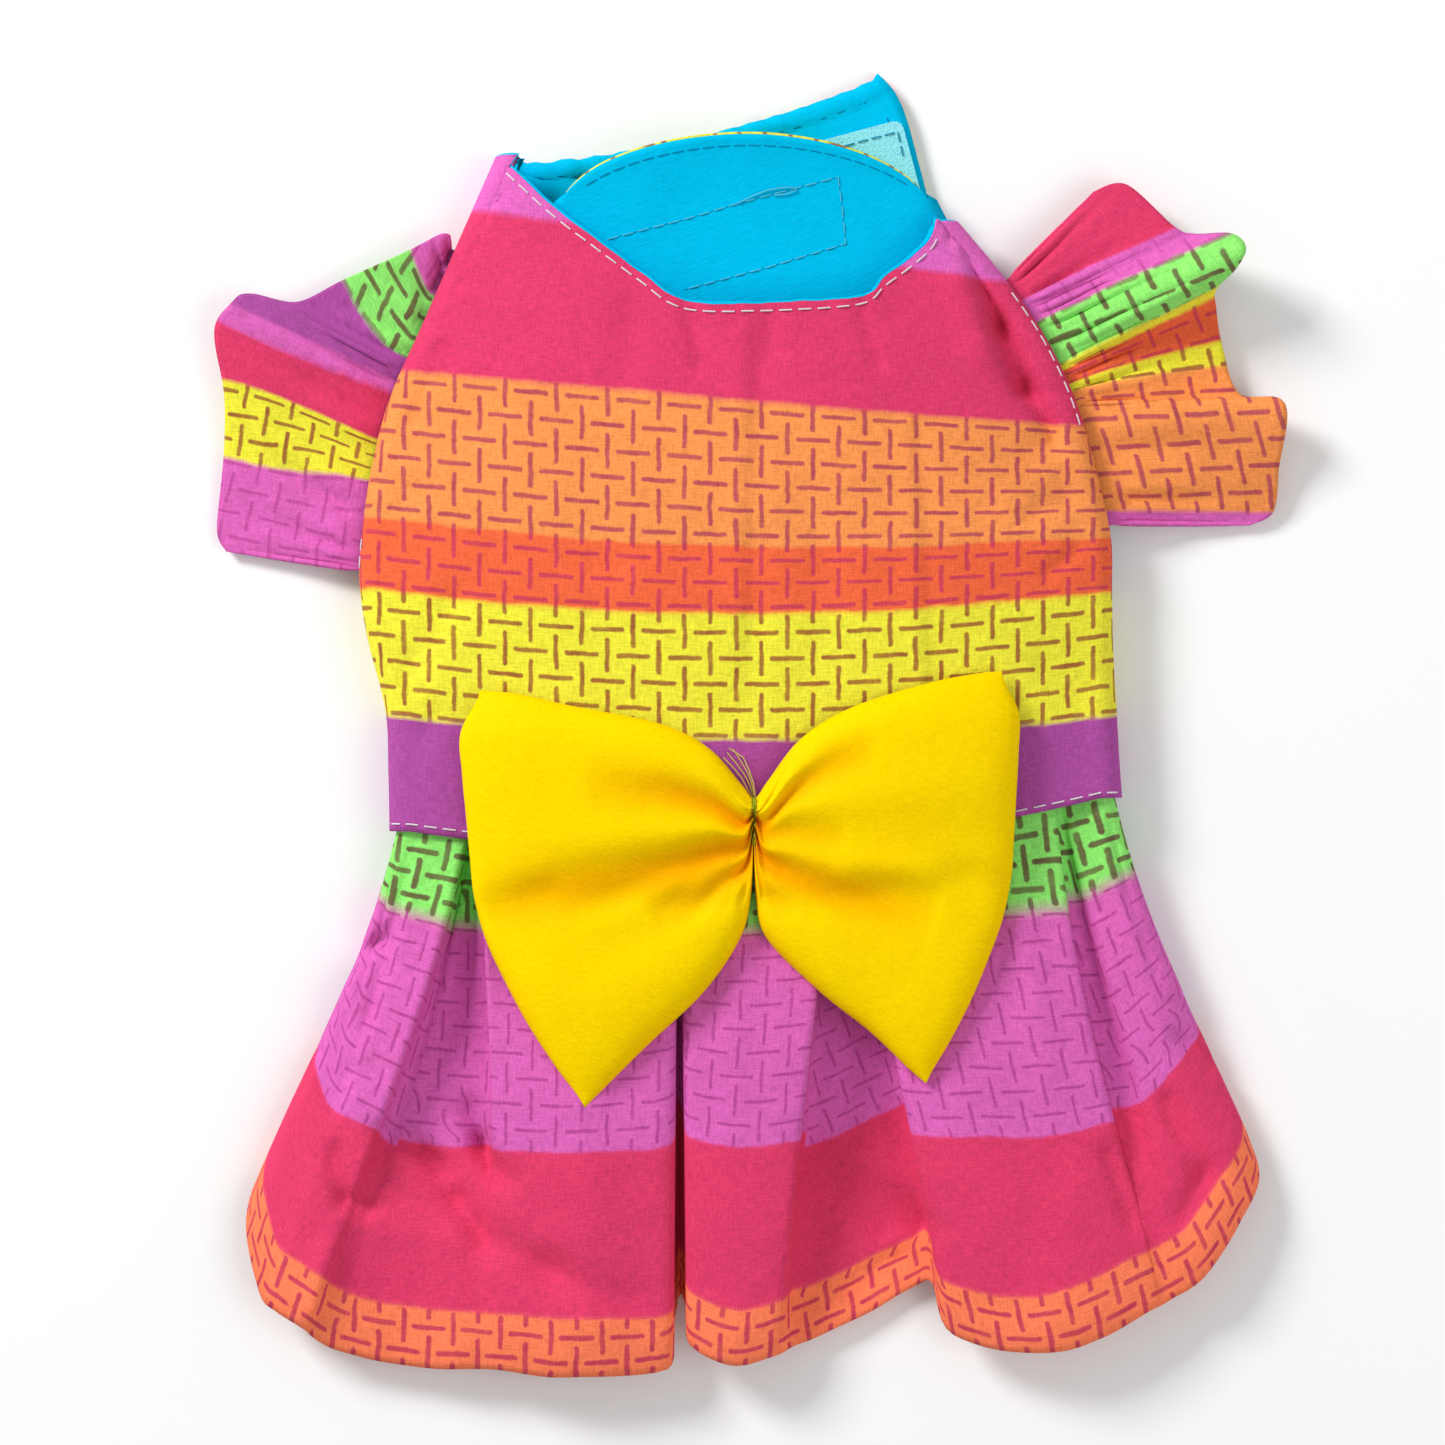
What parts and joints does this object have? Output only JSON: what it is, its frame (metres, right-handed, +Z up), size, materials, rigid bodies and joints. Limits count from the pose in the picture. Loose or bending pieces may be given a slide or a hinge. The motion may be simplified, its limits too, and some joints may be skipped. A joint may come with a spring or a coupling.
{
  "type": "dog dress",
  "caption": "Small dog's cotton dress with striped bodice, flutter sleeves, pleated skirt and a bow on the back, lying belly down.",
  "frame": {"origin": "centre of the garment's outline on the surface that it lies on", "axes": "+Z up off the surface, +Y from the hem towards the neck, +X to the right as seen from above"},
  "size_m": [0.231, 0.2794, 0.0257],
  "materials": {
    "printed_cotton": "matte plain-weave cotton, printed in stripes",
    "lining_cotton": "matte fine twill",
    "bow_cloth": "smooth twill with a soft sheen",
    "bow_thread": "sewing thread",
    "hook_and_loop": "hook and loop tape"
  },
  "bodies": {
    "root": {"bodice": "printed_cotton", "lining": "lining_cotton", "skirt": "printed_cotton", "sleeve_left": "printed_cotton", "sleeve_right": "printed_cotton", "bow": "bow_cloth", "bow_thread": "bow_thread", "neck_hook_strip": "hook_and_loop", "neck_loop_strip": "hook_and_loop", "belly_fastener": "hook_and_loop"}
  },
  "joints": []
}
